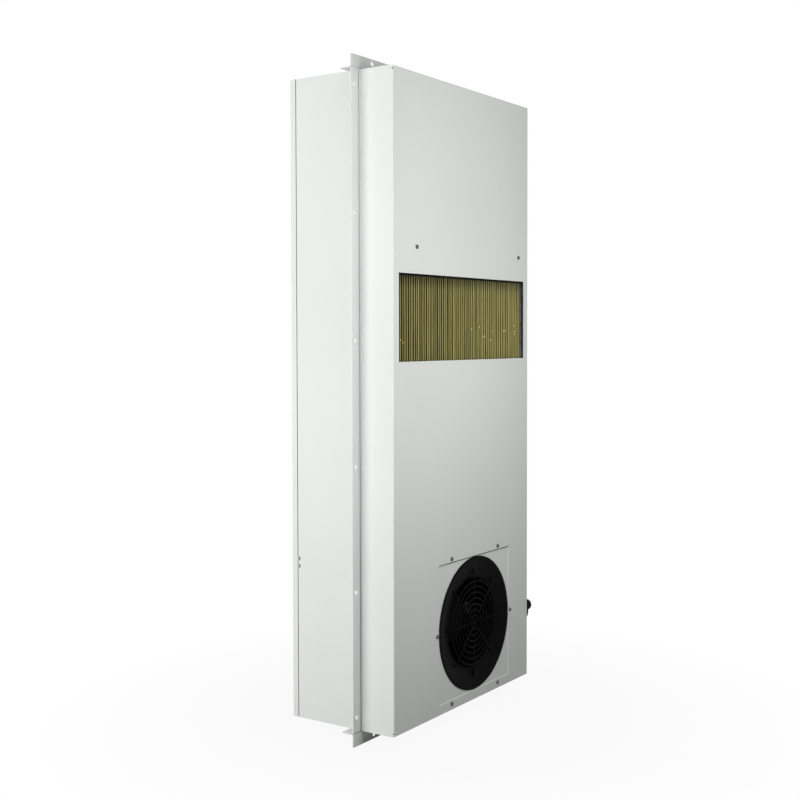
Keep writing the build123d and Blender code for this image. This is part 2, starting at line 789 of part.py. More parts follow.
def build():
    """Every node of the unit by name."""
    rivet_grip = flange_sheet + sheet
    left = side_flange() - rivet_cuts
    top = end_flange() - rivet_cuts
    channel = core_channel()
    seal = window_seal_frame()
    front_channels = [x + half_pitch / 2 for x in leg_places[1:-1:2]]
    rear_channels = [x + half_pitch / 2 for x in leg_places[0::2]]
    cap_floor = core_top - cap_thickness
    standoffs = [Pos(x, casing_rear_y, z) * facing_rear * cover_standoff() for x, z in cover_screw_points()]
    cover_grip = sheet + cover_depth / 2
    cover_screws = [Pos(x, rear_y, z) * facing_rear * screw(cover_grip) for x, z in cover_screw_points()]
    bulkhead_grip = 2 * sheet + screw_shank
    bulkhead_screws = [
        Pos(x, front_y, z) * facing_front * screw(bulkhead_grip) for x, z in bulkhead_screw_points()
    ]
    return {
        "front_casing": front_casing(),
        "rear_cover": rear_cover(),
        "rear_gasket": rear_gasket(),
        "cover_standoffs": Compound(standoffs),
        "cover_screws": Compound(cover_screws),
        "left_flange": left,
        "right_flange": mirror(left, about=Plane.YZ),
        "top_flange": top,
        "bottom_flange": mirror(top, about=Plane.XY),
        "flange_rivets": Compound([seat * rivet(rivet_grip) for seat in rivet_seats]),
        "upper_bulkhead": upper_bulkhead(),
        "lower_bulkhead": bulkhead(-1),
        "bulkhead_screws": Compound(bulkhead_screws),
        "core_foil": core_foil(),
        "core_top_cap": Pos(0, 0, cap_floor) * core_cap(rear_channels),
        "core_bottom_cap": Pos(0, 0, -core_top) * core_cap(front_channels),
        "core_right_channel": channel,
        "core_left_channel": mirror(channel, about=Plane.YZ),
        "front_window_seal": front_side * seal,
        "rear_window_seal": rear_side * seal,
        **fan_nodes("front", front_side),
        **fan_nodes("rear", rear_side),
        "control_box": control_box(),
        "control_cover": control_cover(),
        "circuit_board": circuit_board(),
        "terminal_rail": terminal_rail(),
        "terminal_block": terminal_block(),
        "cable_gland": gland_seat * cable_gland(),
        "gland_nut": gland_seat * gland_nut(),
    }


os.makedirs("parts", exist_ok=True)
for node_name, shape in build().items():
    export_step(shape, f"parts/{node_name}.step")
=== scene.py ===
import json
import math
import random

import bmesh
import bpy
from mathutils import Matrix, Vector


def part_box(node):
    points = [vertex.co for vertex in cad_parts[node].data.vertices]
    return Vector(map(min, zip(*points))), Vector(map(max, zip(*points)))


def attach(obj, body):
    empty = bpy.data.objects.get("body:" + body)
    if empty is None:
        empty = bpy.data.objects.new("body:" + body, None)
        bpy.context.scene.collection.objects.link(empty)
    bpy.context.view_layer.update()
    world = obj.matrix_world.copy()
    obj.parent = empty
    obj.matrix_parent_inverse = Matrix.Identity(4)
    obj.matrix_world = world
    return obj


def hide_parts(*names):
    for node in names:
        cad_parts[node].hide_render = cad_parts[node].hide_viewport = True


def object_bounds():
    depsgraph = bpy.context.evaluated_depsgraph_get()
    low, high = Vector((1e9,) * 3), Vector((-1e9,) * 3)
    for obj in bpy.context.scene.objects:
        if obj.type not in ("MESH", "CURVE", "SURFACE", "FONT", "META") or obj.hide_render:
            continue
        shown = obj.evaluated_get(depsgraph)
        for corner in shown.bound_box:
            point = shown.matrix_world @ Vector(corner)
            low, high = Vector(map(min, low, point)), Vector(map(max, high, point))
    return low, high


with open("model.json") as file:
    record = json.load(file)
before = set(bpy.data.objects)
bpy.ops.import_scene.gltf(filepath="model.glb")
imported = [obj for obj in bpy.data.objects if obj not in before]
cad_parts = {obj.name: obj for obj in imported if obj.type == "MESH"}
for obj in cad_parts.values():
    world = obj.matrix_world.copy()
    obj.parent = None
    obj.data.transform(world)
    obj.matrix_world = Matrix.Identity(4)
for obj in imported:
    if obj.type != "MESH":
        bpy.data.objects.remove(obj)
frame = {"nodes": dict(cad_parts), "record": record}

# Everything is in metres, in the part's own frame: +Z up, front towards -Y.
cad_low, cad_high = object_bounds()
nodes = frame["nodes"]
scene = bpy.context.scene
chance = random.Random(41)
mm = 0.001

# Folded plate core
front_folds = 62
foil_gauge = 0.35 * mm
fold_arc_steps = 4
leg_stations = (8 * mm, 25 * mm)
sway_reach = 30 * mm
window_low, window_high = 70 * mm, 240 * mm
window_levels = 12
# Painted shade that darkens the foil towards both ends of the core, with a ragged edge
end_shade_start, end_shade_full = 214 * mm, 246 * mm
end_shade_ragged = 12 * mm
right_drops, left_drops = 13, 2

# Finger guards
guard_wire = 2.5 * mm
guard_reach = 105 * mm
guard_rings = 7
guard_first_ring = 14 * mm
guard_ring_pitch = 11.4 * mm
guard_spokes = 8
guard_hub_radius = 5.5 * mm
crossbar_spoke = 1
wire_sides = 12
ring_steps = 120

# Inlet rings
cone_edge = 126 * mm
throat_radius = 87 * mm
cone_depth = 8.8 * mm
cone_slope = cone_depth / (cone_edge - throat_radius)

# Grip ribs of the cable gland
rib_count = 28
rib_start, rib_length = 1.8 * mm, 4.0 * mm
rib_width, rib_height = 2.4 * mm, 0.6 * mm

# Sealant in the corners between the mounting angles and the casing, and in the angles' joints
bead = 1.4 * mm
joint_height = 2.4 * mm
joint_lift = 0.1 * mm

# Black foam strips at the top of the front window and of the fan opening: painted shade for the shadow
# under their top edges
window_half_width, window_top = 232 * mm, 235 * mm
window_shade_lip = 3.0 * mm
fan_opening = 268 * mm
fan_shade_strip = 1.3 * mm
paint_bead = 1.6 * mm

# Gasket tabs at the left wall's seam
tab_heights = (-297.5 * mm, -311.5 * mm)
tab_y = 143.0 * mm
tab_size = Vector((0.4 * mm, 2.5 * mm, 6.6 * mm))

# Camera, fitted to the photograph
image_side = 800
focal_pixels = 1213.0
principal_point = (401.9, 379.2)
sensor_width = 36.0
camera_place = Vector((-2.0224, -1.2977, 0.120))
camera_yaw = math.radians(55.75)
camera_pitch = math.radians(-2.0)
camera_roll = math.radians(-0.114)

# Light from all round, and the heights between which the sealant's painted shade fades from dark to light
world_fill = 0.035
shaded_height, unshaded_height = -500 * mm, 400 * mm


# Material building blocks

class Surface:
    """A material being built on a Principled shader, textured in the object's own coordinates."""

    def __init__(self, name):
        self.material = bpy.data.materials.new(name)
        self.material.use_nodes = True
        self.tree = self.material.node_tree
        self.shader = self.tree.nodes["Principled BSDF"]
        self.place = self.add("ShaderNodeTexCoord").outputs["Object"]

    def add(self, kind, inputs=None, **settings):
        """A new node, with its inputs given by name or number as values or as other nodes' outputs."""
        node = self.tree.nodes.new(kind)
        for name, value in settings.items():
            setattr(node, name, value)
        for key, value in (inputs or {}).items():
            self.put(node.inputs[key], value)
        return node

    def put(self, socket, value):
        """Set or link one input."""
        if isinstance(value, bpy.types.NodeSocket):
            self.tree.links.new(value, socket)
        else:
            socket.default_value = value

    def plain(self, **values):
        """Values that are the same all over, by the shader's input name with underscores for spaces."""
        for name, value in values.items():
            self.shader.inputs[name.replace("_", " ")].default_value = value

    def stretched(self, x, y, z):
        """The coordinates scaled along each axis."""
        return self.add("ShaderNodeMapping", {"Vector": self.place, "Scale": (x, y, z)}).outputs["Vector"]

    def noise(self, scale, detail=2.0, place=None):
        """A noise from 0 to 1, spread to use the whole range."""
        vector = self.place if place is None else place
        texture = self.add("ShaderNodeTexNoise", {"Vector": vector, "Scale": scale, "Detail": detail})
        return self.spread(texture.outputs["Fac"], 0.0, 1.0, 0.3, 0.7)

    def cells(self, scale, output="Color"):
        """A cell pattern: a colour for each cell, or the distance to its centre."""
        texture = self.add("ShaderNodeTexVoronoi", {"Vector": self.place, "Scale": scale})
        return texture.outputs[output]

    def spread(self, value, low, high, from_low=0.0, from_high=1.0):
        """A value moved from one range to another."""
        limits = {"From Min": from_low, "From Max": from_high, "To Min": low, "To Max": high}
        return self.add("ShaderNodeMapRange", {"Value": value, **limits}).outputs["Result"]

    def mix(self, factor, first, second):
        """Two colours mixed by a factor."""
        node = self.add("ShaderNodeMix", {0: factor, 6: first, 7: second}, data_type="RGBA")
        return node.outputs[2]

    def times(self, first, second):
        """Two values multiplied."""
        return self.add("ShaderNodeMath", {0: first, 1: second}, operation="MULTIPLY").outputs[0]

    def plus(self, first, second):
        """Two values added."""
        return self.add("ShaderNodeMath", {0: first, 1: second}, operation="ADD").outputs[0]

    def bump(self, height, strength, distance, under=None):
        """Surface relief from a height, on top of an earlier relief."""
        inputs = {"Height": height, "Strength": strength, "Distance": distance}
        if under is not None:
            inputs["Normal"] = under
        return self.add("ShaderNodeBump", inputs).outputs["Normal"]

    def finish(self, colour, roughness, normal):
        """Link the varying inputs and give the material."""
        self.put(self.shader.inputs["Base Color"], colour)
        self.put(self.shader.inputs["Roughness"], roughness)
        self.put(self.shader.inputs["Normal"], normal)
        return self.material


def grey(level):
    return (level, level, level, 1.0)


# Materials

def paint():
    """Satin light grey powder coat: fine orange peel, slight waviness of the sheet, faint clouding."""
    s = Surface("paint")
    s.plain(Specular_IOR_Level=0.22)
    cloud = s.noise(4.0)
    peel = s.noise(900.0, 3.0)
    wave = s.noise(6.0, 1.0)
    tint = s.plus(s.times(cloud, 0.7), s.times(peel, 0.3))
    colour = s.mix(tint, (0.685, 0.712, 0.688, 1), (0.725, 0.745, 0.722, 1))
    relief = s.bump(peel, 0.12, 0.0002, s.bump(wave, 0.10, 0.002))
    return s.finish(colour, s.spread(peel, 0.38, 0.50), relief)


def galvanised():
    """Zinc coated sheet with its pattern of grains."""
    s = Surface("galvanised")
    s.plain(Metallic=0.85)
    grains = s.cells(130.0)
    fine = s.noise(700.0)
    tone = s.add("ShaderNodeSeparateColor", {0: grains}).outputs[0]
    colour = s.mix(tone, grey(0.42), (0.60, 0.62, 0.63, 1))
    return s.finish(colour, s.spread(tone, 0.30, 0.48), s.bump(fine, 0.05, 0.0002))


def zinc():
    """Bright plated spacers, rails and small steel pieces."""
    return plated("zinc", (0.62, 0.62, 0.60, 1), (0.78, 0.78, 0.76, 1))


def plated(name, dark, light):
    """A plated steel surface with faint stains."""
    s = Surface(name)
    s.plain(Metallic=1.0)
    fine = s.noise(2500.0)
    stain = s.noise(300.0)
    return s.finish(s.mix(stain, dark, light), s.spread(fine, 0.22, 0.40), s.bump(fine, 0.06, 0.0001))


def core_gold():
    """Foil with a gold coating: each fold has its own tone, with painted shade on its legs and a painted
    highlight on its crown, and painted shade darkens the foil towards the core's ends.
    """
    s = Surface("core_gold")
    s.plain(Metallic=0.35, Specular_IOR_Level=0.3)
    tone = s.add("ShaderNodeAttribute", attribute_name="tone").outputs["Fac"]
    streak = s.noise(1.0, 2.0, s.stretched(700.0, 700.0, 16.0))
    ramp = s.add("ShaderNodeValToRGB", {"Fac": s.plus(s.times(tone, 0.8), s.times(streak, 0.2))})
    stops = ramp.color_ramp.elements
    stops[0].color = (0.022, 0.021, 0.007, 1)
    stops[1].color = (0.52, 0.46, 0.160, 1)
    stops.new(0.40).color = (0.12, 0.112, 0.045, 1)
    stops.new(0.70).color = (0.30, 0.27, 0.075, 1)
    # Painted shade: the foil darkens towards both ends of the core, reaching into the window's top as the
    # shadow under its edge.
    height = s.add("ShaderNodeSeparateXYZ", {0: s.place}).outputs["Z"]
    from_middle = s.add("ShaderNodeMath", {0: height}, operation="ABSOLUTE").outputs[0]
    ragged = s.plus(from_middle, s.times(streak, end_shade_ragged))
    painted_end_shade = s.spread(ragged, 0.0, 0.85, end_shade_start, end_shade_full)
    colour = s.mix(painted_end_shade, ramp.outputs["Color"], grey(0.012))
    return s.finish(colour, s.spread(streak, 0.34, 0.54), s.bump(streak, 0.08, 0.0003))


def painted_glint_drop():
    """Drops of yellow resin on the folds, coloured far lighter than the foil to stand for glints: painted
    highlights.
    """
    s = Surface("painted_glint_drop")
    cloud = s.noise(900.0)
    colour = s.mix(cloud, (0.72, 0.58, 0.06, 1), (0.90, 0.78, 0.16, 1))
    return s.finish(colour, s.spread(cloud, 0.10, 0.22), s.bump(cloud, 0.03, 0.0001))


def moulded(name, dark, light, grain, rough, smooth, shine=0.5):
    """Moulded plastic with a fine spark-eroded grain. The shine is its specular level."""
    s = Surface(name)
    s.plain(Specular_IOR_Level=shine)
    fine = s.noise(grain, 3.0)
    cloud = s.noise(25.0)
    colour = s.mix(s.plus(s.times(fine, 0.5), s.times(cloud, 0.5)), dark, light)
    return s.finish(colour, s.spread(fine, smooth, rough), s.bump(fine, 0.12, 0.00025))


def foam():
    """Closed-cell foam with open cells on its cut faces."""
    s = Surface("foam")
    s.plain(Specular_IOR_Level=0.03)
    cell = s.cells(1600.0, "Distance")
    cloud = s.noise(60.0)
    colour = s.mix(cloud, grey(0.005), grey(0.012))
    return s.finish(colour, s.spread(cloud, 0.80, 0.95), s.bump(cell, 0.5, 0.0004))


def sealant_rubber():
    """Pale blue-grey sealant, painted darker towards the foot of the unit as shade."""
    s = Surface("sealant")
    s.plain(Specular_IOR_Level=0.2)
    fine = s.noise(500.0, 3.0)
    height = s.add("ShaderNodeSeparateXYZ", {0: s.place}).outputs["Z"]
    # Painted shade: darker towards the foot of the unit.
    unshaded = s.plus(s.spread(height, 0.0, 0.85, shaded_height, unshaded_height), s.times(fine, 0.15))
    colour = s.mix(unshaded, (0.38, 0.42, 0.46, 1), (0.74, 0.76, 0.79, 1))
    return s.finish(colour, s.spread(fine, 0.45, 0.60), s.bump(fine, 0.12, 0.00025))


def motor_metal():
    """Black painted cast metal of the motor."""
    s = Surface("motor")
    s.plain(Specular_IOR_Level=0.02)
    cast = s.noise(500.0, 4.0)
    colour = s.mix(cast, grey(0.002), grey(0.005))
    return s.finish(colour, s.spread(cast, 0.50, 0.65), s.bump(cast, 0.20, 0.0004))


def board():
    """Green laminate with copper runs under the lacquer."""
    s = Surface("board")
    runs = s.add("ShaderNodeTexBrick", {"Vector": s.place, "Scale": 90.0, "Mortar Size": 0.03})
    weave = s.noise(1400.0)
    colour = s.mix(runs.outputs["Fac"], (0.014, 0.085, 0.030, 1), (0.040, 0.170, 0.060, 1))
    return s.finish(colour, s.spread(weave, 0.25, 0.40), s.bump(runs.outputs["Fac"], 0.15, 0.0002))


finishes = {
    "paint": paint(),
    "galvanised": galvanised(),
    "zinc": zinc(),
    "core_gold": core_gold(),
    "cap_resin": moulded("cap_resin", grey(0.02), grey(0.045), 300.0, 0.55, 0.35),
    "foam": foam(),
    "ring": moulded("ring", grey(0.002), grey(0.005), 1500.0, 0.58, 0.46, 0.015),
    "guard": moulded("guard", grey(0.004), grey(0.008), 900.0, 0.55, 0.40, 0.015),
    "impeller": moulded("impeller", grey(0.001), grey(0.003), 1200.0, 0.70, 0.55, 0.01),
    "motor": motor_metal(),
    "board": board(),
    "terminal": moulded("terminal", grey(0.36), grey(0.44), 1200.0, 0.55, 0.40),
    "gland": moulded("gland", grey(0.002), grey(0.004), 1100.0, 0.60, 0.45, 0.01),
}
painted_glint_finish = painted_glint_drop()
screw_finish = plated("screw", (0.07, 0.07, 0.07, 1), (0.13, 0.13, 0.13, 1))
sealant_finish = sealant_rubber()

for row in frame["record"]["subparts"]:
    slots = nodes[row["node"]].data.materials
    slots.clear()
    is_screw = row["node"].endswith("_screws")
    slots.append(screw_finish if is_screw else finishes[row["material_slot"]])


# Meshes

def new_piece(name, vertices, faces, slot, body="casing", smooth=True):
    """A mesh object with a finish, riding on a body."""
    mesh = bpy.data.meshes.new(name)
    mesh.from_pydata([tuple(v) for v in vertices], [], faces)
    return finish_piece(mesh, finishes[slot], body, smooth)


def worked_piece(name, work, finish, body="casing", smooth=True):
    """The same from a mesh built in edit form, which is freed."""
    mesh = bpy.data.meshes.new(name)
    work.to_mesh(mesh)
    work.free()
    return finish_piece(mesh, finish, body, smooth)


def finish_piece(mesh, finish, body, smooth):
    """Make an object of a mesh, with its finish, slot and body."""
    mesh.polygons.foreach_set("use_smooth", [smooth] * len(mesh.polygons))
    mesh.materials.append(finish)
    piece = bpy.data.objects.new(mesh.name, mesh)
    scene.collection.objects.link(piece)
    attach(piece, body)
    return piece


def add_wedge(vertices, faces, corner, first, second, along):
    """Add a three-cornered bead: a corner, its two legs and the way along it."""
    start = len(vertices)
    section = [corner, corner + first, corner + second]
    vertices += section + [point + along for point in section]
    faces += [(start, start + 1, start + 2), (start + 3, start + 4, start + 5)]
    for index in range(3):
        after = (index + 1) % 3
        faces.append((start + index, start + after, start + 3 + after, start + 3 + index))


def add_block(work, turn, size):
    """Add a block of a size to a mesh in edit form, at a place and turn."""
    bmesh.ops.create_cube(work, size=1.0, matrix=turn @ Matrix.Diagonal((*size, 1.0)))


def outward(piece):
    """Turn every face of a closed mesh outwards."""
    work = bmesh.new()
    work.from_mesh(piece.data)
    bmesh.ops.recalc_face_normals(work, faces=work.faces)
    work.to_mesh(piece.data)
    work.free()


# Folded plate core

class Fold:
    """How one fold of the foil differs from a perfect one near its crown."""

    def __init__(self, share):
        """share runs from 0 at the left end of the core to 1 at the right end.

        Towards the right the folds lean more and differ less in depth and tone, and their painted shade and
        painted highlight grow weaker.
        """
        loose = 0.35 + 0.65 * share
        uneven = 1.0 - 0.7 * share
        self.recess = (0.85 + chance.uniform(-0.75, 0.75) * uneven) * mm
        self.squeeze = chance.uniform(0.50, 0.62) + 0.36 * share
        self.swing = chance.uniform(0.05, 0.60) * loose * mm
        self.wave = chance.uniform(0.10, 0.34)
        self.phase = chance.uniform(0.0, 2 * math.pi)
        self.tone = 0.49 + chance.uniform(-0.12, 0.12) * uneven
        # shine is a painted highlight on the crown; leg_shade is how light the legs stay under the painted
        # shade between the folds.
        self.shine = 0.42 - 0.26 * share + chance.uniform(-0.20, 0.20) * uneven
        self.leg_shade = 0.32 + 0.56 * share + chance.uniform(-0.17, 0.17) * uneven
        self.stand = chance.uniform(-0.35, 0.35) * loose * mm

    def shift(self, z):
        """How far the crown leans sideways at a height."""
        return self.stand + self.swing * math.sin(2 * math.pi * z / self.wave + self.phase)

    def painted_light_tone(self, rise):
        """How light the foil is painted, from 0 on the fold's legs to 1 on its crown: painted shade on the
        legs between the folds and a painted highlight on the crown, over the fold's own tone.
        """
        shade = self.leg_shade + (1.0 - self.leg_shade) * rise
        return self.tone * shade + self.shine * rise ** 2


def core_levels(low, high):
    """The heights at which the foil is drawn: close together behind the two windows."""
    gap = (window_high - window_low) / (window_levels - 1)
    steps = [window_low + index * gap for index in range(window_levels)]
    middle = window_low / 2
    return [low, *[-z for z in reversed(steps)], -middle, middle, *steps, high]


def fold_profile(left, right, base, outwards, fold, z):
    """Points over one fold's crown, from its left leg to its right leg, with both legs' near stations."""
    middle = (left + right) / 2
    radius = (right - left) / 2
    crown_y = base - outwards * fold.recess
    lean = fold.shift(z)

    def leg(x, back):
        near = max(0.0, 1.0 - back / sway_reach)
        width = 1.0 + (fold.squeeze - 1.0) * near
        return (middle + (x - middle) * width + lean * near, base - outwards * (fold.recess * near + back))

    points = [leg(left, back) for back in reversed(leg_stations)]
    for step in range(fold_arc_steps + 1):
        angle = math.pi * (1 - step / fold_arc_steps)
        x = middle + lean + radius * fold.squeeze * math.cos(angle)
        points.append((x, crown_y + outwards * radius * math.sin(angle)))
    points += [leg(right, back) for back in leg_stations]
    return points


def core_plates():
    """The whole foil as one folded sheet, with each fold a little different."""
    low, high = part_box("core_foil")
    half_pitch = (high.x - low.x - foil_gauge) / (2 * front_folds - 1)
    legs = [low.x + foil_gauge / 2 + index * half_pitch for index in range(2 * front_folds)]
    inset = half_pitch / 2 + foil_gauge / 2
    front_y, rear_y = low.y + inset, high.y - inset
    folds = [Fold(index / (len(legs) - 2)) for index in range(len(legs) - 1)]
    rows, tones = [], []
    arc_rises = [math.sin(math.pi * step / fold_arc_steps) for step in range(fold_arc_steps + 1)]
    levels = core_levels(low.z, high.z)
    for z in levels:
        points, row_tones = [(legs[0], rear_y)], [folds[0].painted_light_tone(0.0)]
        for index, fold in enumerate(folds):
            at_front = index % 2 == 0
            base, outwards = (front_y, -1) if at_front else (rear_y, 1)
            points += fold_profile(legs[index], legs[index + 1], base, outwards, fold, z)
            # Painted light: shade on each fold's legs and a highlight on its crown.
            crown_tones = [fold.painted_light_tone(rise) for rise in arc_rises]
            leg_tones = [fold.painted_light_tone(0.0)] * len(leg_stations)
            row_tones += leg_tones + crown_tones + leg_tones
        points.append((legs[-1], rear_y))
        row_tones.append(folds[-1].painted_light_tone(0.0))
        rows.append([(x, y, z) for x, y in points])
        tones += row_tones
    across = len(rows[0])
    faces = []
    for level in range(len(levels) - 1):
        start = level * across
        for index in range(start, start + across - 1):
            faces.append((index, index + 1, index + across + 1, index + across))
    piece = new_piece("core_plates", [v for row in rows for v in row], faces, "core_gold")
    piece.data.attributes.new("tone", "FLOAT", "POINT").data.foreach_set("value", tones)
    thickness = piece.modifiers.new("gauge", "SOLIDIFY")
    thickness.thickness = foil_gauge
    thickness.offset = 0.0
    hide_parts("core_foil")
    return folds, legs, front_y, half_pitch


def painted_glint_drops(folds, legs, front_y, half_pitch):
    """Small drops of resin on the crowns of some front folds, most of them low on the right, as painted
    glints.
    """
    work = bmesh.new()
    spots = [(chance.uniform(0.56, 0.98), chance.uniform(0.20, 0.45)) for _ in range(right_drops)]
    spots += [(chance.uniform(0.01, 0.05), chance.uniform(0.18, 0.28)) for _ in range(left_drops)]
    for across, up in spots:
        index = 2 * round(across * (front_folds - 1))
        fold = folds[index]
        z = window_low + (window_high - window_low) * up
        x = legs[index] + half_pitch / 2 + fold.shift(z)
        y = front_y + fold.recess - half_pitch / 2
        size = chance.uniform(1.1, 1.8) * mm
        place = Matrix.Translation((x, y, z)) @ Matrix.Diagonal((size, 0.55 * size, 1.15 * size, 1.0))
        bmesh.ops.create_icosphere(work, subdivisions=2, radius=1.0, matrix=place)
    worked_piece("painted_glint_drops", work, painted_glint_finish)


# Fan guards

class FanSide:
    """The fan's axis on one face of the unit: where its guard's wires lie and which way is out."""

    def __init__(self, name):
        self.name = name
        low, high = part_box(f"{name}_finger_guard")
        ring_low, ring_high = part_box(f"{name}_inlet_ring")
        self.centre = (low + high) / 2
        self.out = -1.0 if name == "front" else 1.0
        front_edge, back_edge = (low.y, high.y) if name == "front" else (high.y, low.y)
        self.crossbar_y = front_edge - self.out * guard_wire / 2
        self.spoke_y = back_edge + self.out * guard_wire / 2
        self.ring_y = (self.crossbar_y + self.spoke_y) / 2
        self.face_y = ring_low.y if name == "front" else ring_high.y

    def at(self, radius, angle, y):
        """A point at a radius and an angle about the fan's axis."""
        x = self.centre.x + radius * math.cos(angle)
        return Vector((x, y, self.centre.z + radius * math.sin(angle)))

    def cone_y(self, radius):
        """Where the inlet ring's cone lies at a radius."""
        return self.face_y - self.out * (cone_edge - radius) * cone_slope


def add_tube(vertices, faces, centres, sides, ups, radius, closed):
    """Add a round wire along centres, with a side and an up direction at each."""
    start = len(vertices)
    for centre, side, up in zip(centres, sides, ups):
        for step in range(wire_sides):
            angle = 2 * math.pi * step / wire_sides
            vertices.append(centre + radius * (math.cos(angle) * side + math.sin(angle) * up))
    count = len(centres)
    for ring in range(count if closed else count - 1):
        this, following = start + ring * wire_sides, start + (ring + 1) % count * wire_sides
        for step in range(wire_sides):
            after = (step + 1) % wire_sides
            faces.append((this + step, this + after, following + after, following + step))
    if not closed:
        faces.append(tuple(range(start, start + wire_sides)))
        last = start + (count - 1) * wire_sides
        faces.append(tuple(range(last, last + wire_sides)))


def guard_wires(side):
    """The round wires of a guard: rings with one straight crossbar in front and the other spokes behind."""
    vertices, faces = [], []
    along_y = Vector((0, 1, 0))
    for index in range(guard_rings):
        radius = guard_first_ring + index * guard_ring_pitch
        angles = [2 * math.pi * step / ring_steps for step in range(ring_steps)]
        centres = [side.at(radius, angle, side.ring_y) for angle in angles]
        sides = [Vector((math.cos(angle), 0, math.sin(angle))) for angle in angles]
        add_tube(vertices, faces, centres, sides, [along_y] * ring_steps, guard_wire / 2, True)
    rounded = guard_wire / 4
    for index in range(guard_spokes):
        angle = 2 * math.pi * index / guard_spokes
        across = Vector((-math.sin(angle), 0, math.cos(angle)))
        shoulder = guard_reach - rounded
        wire_y = side.crossbar_y if index % (guard_spokes // 2) == crossbar_spoke else side.spoke_y
        ends = [side.at(radius, angle, wire_y) for radius in (0.0, shoulder)]
        add_tube(vertices, faces, ends, [across] * 2, [along_y] * 2, guard_wire / 2, False)
        tip = [side.at(radius, angle, wire_y) for radius in (shoulder, guard_reach)]
        add_tube(vertices, faces, tip, [across] * 2, [along_y] * 2, guard_wire / 3, False)
    hub = [side.at(0, 0, side.spoke_y + share * guard_wire / 2) for share in (-1, -0.6, 0.6, 1)]
    for first, second, radius in ((0, 3, guard_hub_radius - rounded), (1, 2, guard_hub_radius)):
        across, up = Vector((1, 0, 0)), Vector((0, 0, 1))
        add_tube(vertices, faces, [hub[first], hub[second]], [across] * 2, [up] * 2, radius, False)
    piece = new_piece(f"{side.name}_guard_wires", vertices, faces, "guard")
    outward(piece)
    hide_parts(f"{side.name}_finger_guard")


def guard_lugs(side):
    """A small triangular pad on the inlet ring under each spoke's end, pointing outwards."""
    foot, tip, half_width = 96 * mm, 109 * mm, 3.2 * mm
    rise, sunk = 0.7 * mm, 0.3 * mm
    vertices, faces = [], []
    for index in range(guard_spokes):
        angle = 2 * math.pi * index / guard_spokes
        across = Vector((-math.sin(angle), 0, math.cos(angle)))
        start = len(vertices)
        for lift in (-sunk, rise):
            for radius, offset in ((tip, 0.0), (foot, half_width), (foot, -half_width)):
                height = side.cone_y(radius) + side.out * lift
                vertices.append(side.at(radius, angle, height) + across * offset)
        low, high = [start, start + 1, start + 2], [start + 3, start + 4, start + 5]
        faces += [tuple(low), tuple(reversed(high))]
        for corner in range(3):
            after = (corner + 1) % 3
            faces.append((low[corner], high[corner], high[after], low[after]))
    piece = new_piece(f"{side.name}_guard_lugs", vertices, faces, "impeller", smooth=False)
    outward(piece)


def pressure_tap(side):
    """The small hollow nipple on the inlet ring's cone, turned from a profile of radius and height."""
    angle, radius = math.radians(-20.3), 110.4 * mm
    base = side.at(radius, angle, side.cone_y(radius))
    out = Vector((0, side.out, 0))
    outside = [(2.6, -0.4), (2.6, 0.5), (1.9, 1.0), (1.9, 2.0), (1.6, 2.3)]
    inside = [(1.0, 2.3), (0.8, 2.1), (0.8, 0.6), (0.0, 0.5)]
    profile = outside + inside
    steps = 20
    vertices, faces = [], []
    for turn in range(steps):
        about = 2 * math.pi * turn / steps
        spoke = Vector((math.cos(about), 0, math.sin(about)))
        vertices += [base + spoke * r * mm + out * h * mm for r, h in profile]
    size = len(profile)
    for turn in range(steps):
        this, following = turn * size, (turn + 1) % steps * size
        for index in range(size - 1):
            faces.append((this + index, this + index + 1, following + index + 1, following + index))
    piece = new_piece(f"{side.name}_pressure_tap", vertices, faces, "ring")
    work = bmesh.new()
    work.from_mesh(piece.data)
    bmesh.ops.remove_doubles(work, verts=work.verts, dist=1e-6)
    work.to_mesh(piece.data)
    work.free()
    outward(piece)


# Small pieces on the walls

def gland_ribs():
    """Grip ribs round the cable gland's collar."""
    low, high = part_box("cable_gland")
    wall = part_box("front_casing")[1].x
    middle = Vector((wall + rib_start + rib_length / 2, (low.y + high.y) / 2, (low.z + high.z) / 2))
    radius = (high.z - low.z) / 2
    work = bmesh.new()
    for index in range(rib_count):
        turn = Matrix.Rotation(2 * math.pi * index / rib_count, 4, "X")
        place = Matrix.Translation(middle) @ turn @ Matrix.Translation((0, 0, radius))
        add_block(work, place, (rib_length, rib_width, rib_height))
    piece = worked_piece("gland_ribs", work, finishes["gland"], smooth=False)
    edge = piece.modifiers.new("edge", "BEVEL")
    edge.width = rib_height / 4
    edge.segments = 2


def seam_tabs():
    """Two short gasket tabs that show at the left wall's rear edge."""
    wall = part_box("front_casing")[0].x
    work = bmesh.new()
    for z in tab_heights:
        add_block(work, Matrix.Translation((wall, tab_y, z)), tab_size)
    worked_piece("seam_tabs", work, finishes["foam"], smooth=False)


def sealant():
    """Beads in the corners between the side angles and the casing, and strips over the angles' joints."""
    casing_low, casing_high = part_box("front_casing")
    flange_low, flange_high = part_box("left_flange")[0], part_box("right_flange")[1]
    face_y = flange_low.y
    vertices, faces = [], []
    along = Vector((0, 0, casing_high.z - casing_low.z))
    for wall, way in ((casing_low.x, -1), (casing_high.x, 1)):
        corner = Vector((wall, face_y, casing_low.z))
        add_wedge(vertices, faces, corner, Vector((way * bead, 0, 0)), Vector((0, -bead, 0)), along)
    beads = new_piece("sealant_beads", vertices, faces, "foam", smooth=False)
    outward(beads)
    beads.data.materials[0] = sealant_finish
    work = bmesh.new()
    for wall, outer in ((casing_low.x, flange_low.x), (casing_high.x, flange_high.x)):
        for z in (casing_low.z, casing_high.z):
            place = Matrix.Translation(((wall + outer) / 2, face_y, z))
            add_block(work, place, (abs(outer - wall), 2 * joint_lift, joint_height))
    worked_piece("sealant_joints", work, sealant_finish, smooth=False)


